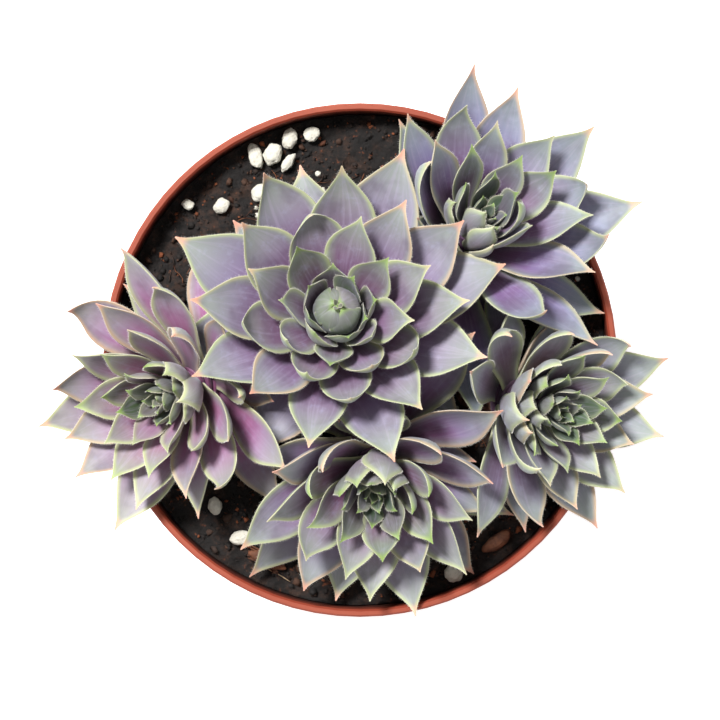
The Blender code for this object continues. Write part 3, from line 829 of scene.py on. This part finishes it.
def settle(rosette, grow, laid):
    """The largest way a leaf can grow clear of all that is laid, or None."""
    for size in SETTLING_SIZES:
        for turned in SETTLING_TURNS:
            leaf = grow(size, turned)
            tree, lowest = leaf_tree(rosette, leaf)
            if lowest > SOIL_TOP + MM and not any(tree.overlap(other) for other in laid):
                laid.append(tree)
                return leaf
    return None


def build_rosette(rosette, finish, laid):
    for whorl in range(WHORLS):
        bm = leaf_bmesh()
        draw_collar(bm, whorl)
        for number in range((WHORLS - 1 - whorl) * WHORL_LEAVES, (WHORLS - whorl) * WHORL_LEAVES):
            in_cup = rosette.name == "centre" and number < CUP_LEAVES
            leaf = cup_leaf(rosette, number) if in_cup else modelled_leaf(rosette, number)
            if leaf is not None:
                draw_leaf(bm, rosette, leaf)
                laid.append(leaf_tree(rosette, leaf)[0])
        if whorl == WHORLS - 1 and rosette.name == "centre":
            draw_bud(bm, rosette)
        elif whorl == WHORLS - 1:
            for number in range(1, HEART_LEAVES + 1):
                draw_leaf(bm, rosette, heart_leaf(rosette, number))
        bmesh.ops.transform(bm, verts=bm.verts, matrix=crown_matrix(rosette))
        finish_piece(f"{rosette.name}_whorl_{whorl + 1}", bm, finish,
                     (f"{rosette.name}_leaves_{whorl + 1}",))


def build_old_leaves(rosette, finish, laid):
    """The leaves that find room only once all the whorls stand."""
    bm = leaf_bmesh()
    for number in range(LEAF_COUNT):
        if modelled_leaf(rosette, number) is None:
            leaf = settle(rosette, partial(crowded_leaf, rosette, number), laid)
            if leaf is not None:
                draw_leaf(bm, rosette, leaf)
    for number in range(OLD_LEAVES):
        leaf = settle(rosette, partial(old_leaf, rosette, number), laid)
        if leaf is not None:
            draw_leaf(bm, rosette, leaf)
    bmesh.ops.transform(bm, verts=bm.verts, matrix=crown_matrix(rosette))
    finish_piece(f"{rosette.name}_old_leaves", bm, finish)


# ---------------------------------------------------------------- stems and dead leaves
def stem_length(rosette):
    return (rosette.height + STEM_IN_SOIL) / math.cos(math.radians(rosette.lean))


def build_stem(rosette, finish):
    """A short knobbly stalk with the scars of old leaves."""
    length = stem_length(rosette)
    profile = [(0.0, -length)]
    for index in range(STEM_RINGS + 1):
        share = index / STEM_RINGS
        scar = SCAR_DEPTH * (index % 2)
        radius = STEM_DIAMETER / 2 - 0.6 * MM - scar + 0.6 * MM * share
        profile.append((radius, -length + share * (length - GAP)))
    profile.append((0.0, -GAP))
    bm = spun(profile, STEM_STEPS)
    for vert in bm.verts:
        lump = noise.noise(vert.co * 400 + Vector((rosette.lean_to, 0, 0)))
        vert.co.x *= 1 + 0.10 * (lump - 0.3)
        vert.co.y *= 1 + 0.10 * (lump - 0.3)
    bmesh.ops.recalc_face_normals(bm, faces=bm.faces)
    bmesh.ops.transform(bm, verts=bm.verts, matrix=crown_matrix(rosette))
    finish_piece(rosette.name + "_stalk", bm, finish, (rosette.name + "_stem",))


# ---------------------------------------------------------------- soil and what lies on it


def soil_relief(x, y):
    """How far the soil's surface lies over its level."""
    hill = noise.noise(Vector((x, y, 0)) * 60)
    lump = noise.turbulence(Vector((x, y, 0.01)) * 240, 4, False)
    return SOIL_RELIEF * (0.6 * hill + 0.8 * (lump - 0.5))


def build_soil(finish):
    low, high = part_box("soil")
    outer = high.x
    floor_radius = outer * 0.74
    profile = [(outer * index / SOIL_RINGS, high.z) for index in range(SOIL_RINGS + 1)]
    profile += [(outer, high.z - 4 * MM), (floor_radius, low.z), (0.0, low.z)]
    bm = spun(profile, SOIL_STEPS)
    for vert in bm.verts:
        if vert.co.z > high.z - MM:
            vert.co.z += soil_relief(vert.co.x, vert.co.y)
    bmesh.ops.recalc_face_normals(bm, faces=bm.faces)
    finish_piece("soil_bed", bm, finish, ("soil",))


def build_crumbs(finish):
    luck = random.Random("crumbs")
    bm = bmesh.new()
    crumb_layer = bm.verts.layers.float_vector.new("crumb")
    for _ in range(CRUMBS):
        radius = (MOUTH_RADIUS - 1.5 * MM) * math.sqrt(luck.random())
        turn = luck.uniform(0, math.tau)
        x, y = radius * math.cos(turn), radius * math.sin(turn)
        size = luck.choice((0.3, 0.35, 0.4, 0.5, 0.5, 0.6, 0.8, 1.2)) * luck.uniform(0.8, 1.2) * MM
        tilt = Matrix.Rotation(luck.uniform(0, math.tau), 4, Vector((luck.random(), luck.random(), 1)))
        length, width = size * luck.uniform(0.6, 1.3), size * luck.uniform(0.6, 1.3)
        shape = Matrix.Diagonal((length, width, size * 0.7, 1))
        place = Matrix.Translation((x, y, SOIL_TOP + soil_relief(x, y) + size * 0.2))
        crumb = bmesh.ops.create_icosphere(bm, subdivisions=1, radius=0.75, matrix=place @ tilt @ shape)
        tone, rust = luck.random(), luck.random()
        for vert in crumb["verts"]:
            vert[crumb_layer] = (tone, rust, 0.0)
            vert.co += Vector((luck.uniform(-1, 1), luck.uniform(-1, 1), luck.uniform(-1, 1))) * size * 0.30
    finish_piece("soil_crumbs", bm, finish)


def grain_room(node):
    """The middle of a grain of the model, its length, width and height, and the direction of its length."""
    points = [vert.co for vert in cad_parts[node].data.vertices]
    low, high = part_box(node)
    middle = (low + high) / 2
    spread_x = sum((point.x - middle.x) ** 2 for point in points)
    spread_y = sum((point.y - middle.y) ** 2 for point in points)
    shear = sum((point.x - middle.x) * (point.y - middle.y) for point in points)
    turn = math.atan2(2 * shear, spread_x - spread_y) / 2
    ahead = [(point - middle).dot(Vector((math.cos(turn), math.sin(turn), 0))) for point in points]
    beside = [(point - middle).dot(Vector((-math.sin(turn), math.cos(turn), 0))) for point in points]
    size = Vector((max(ahead) - min(ahead), max(beside) - min(beside), high.z - low.z))
    return middle, size, turn


def build_pebble(name, node, finish, seed, lumps=0.22):
    """A lumpy grain in the room that the model's grain takes."""
    middle, size, turn = grain_room(node)
    bm = bmesh.new()
    bmesh.ops.create_icosphere(bm, subdivisions=4, radius=0.5)
    offset = Vector((seed * 3.7, seed * 1.3, 0))
    for vert in bm.verts:
        direction = vert.co.normalized()
        lump = noise.noise(direction * 1.2 + offset) * lumps + noise.noise(direction * 3 + offset) * 0.14
        lump += noise.noise(direction * 9 + offset) * 0.05
        vert.co = direction * (0.5 + 0.4 * lump)
    bmesh.ops.scale(bm, verts=bm.verts, vec=size * 1.15)
    bmesh.ops.rotate(bm, verts=bm.verts, matrix=Matrix.Rotation(turn, 3, "Z"))
    bmesh.ops.translate(bm, verts=bm.verts, vec=middle)
    return finish_piece(name, bm, finish, (node,))


def draw_strand(bm, points, thickness):
    """A thin three-sided strand through the points, pointed at its far end."""
    ahead = (points[1] - points[0]).normalized()
    place = Matrix.Translation(points[0]) @ ahead.to_track_quat("Z", "Y").to_matrix().to_4x4()
    start = bmesh.ops.create_circle(bm, cap_ends=True, segments=3, radius=thickness / 2, matrix=place)
    face = next(face for face in start["verts"][0].link_faces)
    for before, point in zip(points, points[1:]):
        grown = bmesh.ops.extrude_face_region(bm, geom=[face], use_keep_orig=True)["geom"]
        if before is not points[0]:
            bmesh.ops.delete(bm, geom=[face], context="FACES_ONLY")
        face = next(item for item in grown if isinstance(item, bmesh.types.BMFace))
        bmesh.ops.translate(bm, verts=face.verts, vec=point - before)
    bmesh.ops.scale(bm, verts=face.verts, vec=(0.2, 0.2, 0.2), space=Matrix.Translation(-points[-1]))


def lying_points(luck, x, y, direction, length, bend, over):
    """Points of a strand that lies on the soil and bends a little."""
    points = []
    for step in range(STRAND_POINTS):
        height = SOIL_TOP + soil_relief(x, y) + over * (1 + math.sin(step * 1.7 + direction))
        points.append(Vector((x, y, height)))
        x += length / (STRAND_POINTS - 1) * math.cos(direction)
        y += length / (STRAND_POINTS - 1) * math.sin(direction)
        direction += luck.uniform(-bend, bend)
    return points


def build_strands(name, finish, count, longest, thickness):
    """Loose root hairs and plant fibres on the soil."""
    luck = random.Random(name)
    bm = bmesh.new()
    for _ in range(count):
        radius = (MOUTH_RADIUS - 8 * MM) * math.sqrt(luck.random())
        turn = luck.uniform(0, math.tau)
        x, y = radius * math.cos(turn), radius * math.sin(turn)
        points = lying_points(luck, x, y, luck.uniform(0, math.tau), longest * luck.uniform(0.4, 1.0),
                              0.6, 0.5 * MM)
        draw_strand(bm, points, thickness * luck.uniform(0.6, 1.3))
    bmesh.ops.recalc_face_normals(bm, faces=bm.faces)
    finish_piece(name, bm, finish)


def build_bark_fibres(finish):
    """The split fibres of the larger piece of bark."""
    luck = random.Random("bark fibres")
    middle, size, turn = grain_room("bark_chip_1")
    bm = bmesh.new()
    for index in range(BARK_FIBRES):
        side = blend(-0.55, 0.55, index / (BARK_FIBRES - 1)) * size.y
        back = size.x * luck.uniform(0.35, 0.6)
        x = middle.x - back * math.cos(turn) - side * math.sin(turn)
        y = middle.y - back * math.sin(turn) + side * math.cos(turn)
        points = lying_points(luck, x, y, turn, back * 2, 0.12, 0.4 * MM)
        points = [point + Vector((0, 0, size.z * 0.6)) for point in points]
        draw_strand(bm, points, 0.5 * MM * luck.uniform(0.6, 1.3))
    bmesh.ops.recalc_face_normals(bm, faces=bm.faces)
    finish_piece("bark_fibres", bm, finish)


def build_straw(finish):
    luck = random.Random("straw")
    bm = bmesh.new()
    points = lying_points(luck, -23.0 * MM, -48.7 * MM, math.radians(-27), 7.5 * MM, 0.08, 0.5 * MM)
    draw_strand(bm, points, 0.35 * MM)
    bmesh.ops.recalc_face_normals(bm, faces=bm.faces)
    finish_piece("straw", bm, finish)


def build_perlite_crumbs(finish):
    """Small broken bits of perlite."""
    luck = random.Random("perlite crumbs")
    bm = bmesh.new()
    for _ in range(PERLITE_CRUMBS):
        radius = (MOUTH_RADIUS - 2 * MM) * math.sqrt(luck.random())
        turn = luck.uniform(0, math.tau)
        x, y = radius * math.cos(turn), radius * math.sin(turn)
        size = luck.uniform(0.5, 1.3) * MM
        place = Matrix.Translation((x, y, SOIL_TOP + soil_relief(x, y) + size * 0.25))
        shape = Matrix.Diagonal((size * luck.uniform(0.7, 1.4), size, size * 0.7, 1))
        bit = bmesh.ops.create_icosphere(bm, subdivisions=2, radius=0.6, matrix=place @ shape)
        for vert in bit["verts"]:
            vert.co += Vector((luck.uniform(-1, 1), luck.uniform(-1, 1), luck.uniform(-1, 1))) * size * 0.07
    finish_piece("perlite_crumbs", bm, finish)


# ---------------------------------------------------------------- the plant
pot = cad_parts["pot"].data
pot.materials.clear()
pot.materials.append(pot_plastic())
build_soil(soil_peat())
build_crumbs(crumb_peat())
chalk = perlite_glass()
for index in range(1, PERLITE_GRAINS + 1):
    build_pebble(f"perlite_grain_{index}", f"perlite_{index}", chalk, index)
bark = bark_fibre("old bark", paint(54, 30, 20), paint(118, 70, 44))
for index in range(1, BARK_PIECES + 1):
    build_pebble(f"bark_piece_{index}", f"bark_chip_{index}", bark, 40 + index)
build_bark_fibres(bark)
build_perlite_crumbs(chalk)
build_strands("root_fibres", bark_fibre("dry roots", paint(84, 44, 26), paint(150, 92, 58)), 90,
              9 * MM, 0.22 * MM)
build_strands("dark_fibres", bark_fibre("dark roots", paint(26, 18, 15), paint(70, 50, 40)), 140,
              7 * MM, 0.30 * MM)
build_straw(bark_fibre("straw", paint(170, 140, 104), paint(214, 188, 150)))
stalk = bark_fibre("old stalk", paint(92, 60, 46), paint(150, 104, 84))
skins = {rosette.name: leaf_skin(rosette.name + " leaves", BLADES[rosette.name]) for rosette in ROSETTES}
laid_leaves = [BVHTree.FromPolygons([vert.co for vert in pot.vertices],
                                    [face.vertices[:] for face in pot.polygons])]
for rosette in ROSETTES:
    build_stem(rosette, stalk)
    build_rosette(rosette, skins[rosette.name], laid_leaves)
for rosette in ROSETTES:
    build_old_leaves(rosette, skins[rosette.name], laid_leaves)

# ---------------------------------------------------------------- floor, lights and camera
def build_floor():
    bm = bmesh.new()
    bmesh.ops.create_grid(bm, x_segments=1, y_segments=1, size=FLOOR_HALF_SIZE)
    mesh = bpy.data.meshes.new("floor")
    bm.to_mesh(mesh)
    bm.free()
    paper = Finish("white paper")
    paper.color(paper.mix(paper.noise(3.0), paint(250, 250, 250), paint(254, 254, 254)))
    paper.roughness(0.9)
    paper.shader.inputs["Emission Color"].default_value = paint(255, 255, 255)
    paper.shader.inputs["Emission Strength"].default_value = FLOOR_GLOW
    mesh.materials.append(paper.made)
    floor = bpy.data.objects.new("floor", mesh)
    bpy.context.scene.collection.objects.link(floor)


def add_light(name, place, size, power):
    light = bpy.data.lights.new(name, "AREA")
    light.shape = "DISK"
    light.size = size
    light.energy = power
    lamp = bpy.data.objects.new(name, light)
    lamp.location = place
    lamp.rotation_euler = (Vector((0, 0, RIM_HEIGHT)) - Vector(place)).to_track_quat("-Z", "Y").to_euler()
    bpy.context.scene.collection.objects.link(lamp)


def build_studio():
    build_floor()
    add_light("key light", (-0.45, 0.50, 1.20), 0.30, 30.0)
    add_light("fill light", (0.8, -0.5, 1.0), 1.2, 3.0)
    world = bpy.data.worlds.new("studio")
    world.use_nodes = True
    world.node_tree.nodes["Background"].inputs["Color"].default_value = (1.0, 1.0, 1.0, 1.0)
    world.node_tree.nodes["Background"].inputs["Strength"].default_value = SKY
    bpy.context.scene.world = world
    bpy.context.scene.view_settings.view_transform = "Standard"
    data = bpy.data.cameras.new("camera")
    data.sensor_width = SENSOR
    data.lens = SENSOR * CAMERA_OVER_RIM / VIEW_WIDTH
    camera = bpy.data.objects.new("camera", data)
    camera.location = (0, 0, RIM_HEIGHT + CAMERA_OVER_RIM)
    bpy.context.scene.collection.objects.link(camera)
    bpy.context.scene.camera = camera


build_studio()
